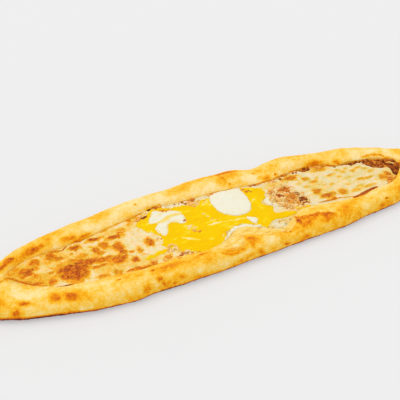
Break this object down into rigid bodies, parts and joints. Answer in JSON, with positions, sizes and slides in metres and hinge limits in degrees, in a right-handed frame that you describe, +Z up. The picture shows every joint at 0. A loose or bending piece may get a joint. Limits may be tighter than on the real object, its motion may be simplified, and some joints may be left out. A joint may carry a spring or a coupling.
{
  "type": "pide",
  "caption": "Boat-shaped flatbread with a rolled edge, filled with minced meat and melted cheese and topped with a broken egg.",
  "frame": {"origin": "middle of the bread's box in plan, on the flat base", "axes": "+X along the boat, +Y towards the long side that is far in the picture, +Z up"},
  "size_m": [0.5, 0.13, 0.0174],
  "materials": {
    "crust": "matt baked dough, floury, toasted brown in spots",
    "meat": "greasy browned minced meat",
    "cheese": "melted cheese with browned blisters, satin",
    "yolk": "set egg yolk, glossy",
    "egg_white": "set egg white, soft sheen"
  },
  "bodies": {
    "root": {"bread": "crust", "meat": "meat", "cheese_left": "cheese", "cheese_right": "cheese", "egg_yolk": "yolk", "egg_white_round": "egg_white", "egg_white_swirl": "egg_white", "egg_white_edge": "egg_white", "egg_curd_near": "egg_white", "egg_curd_low": "egg_white", "egg_curd_right": "egg_white"}
  },
  "joints": []
}
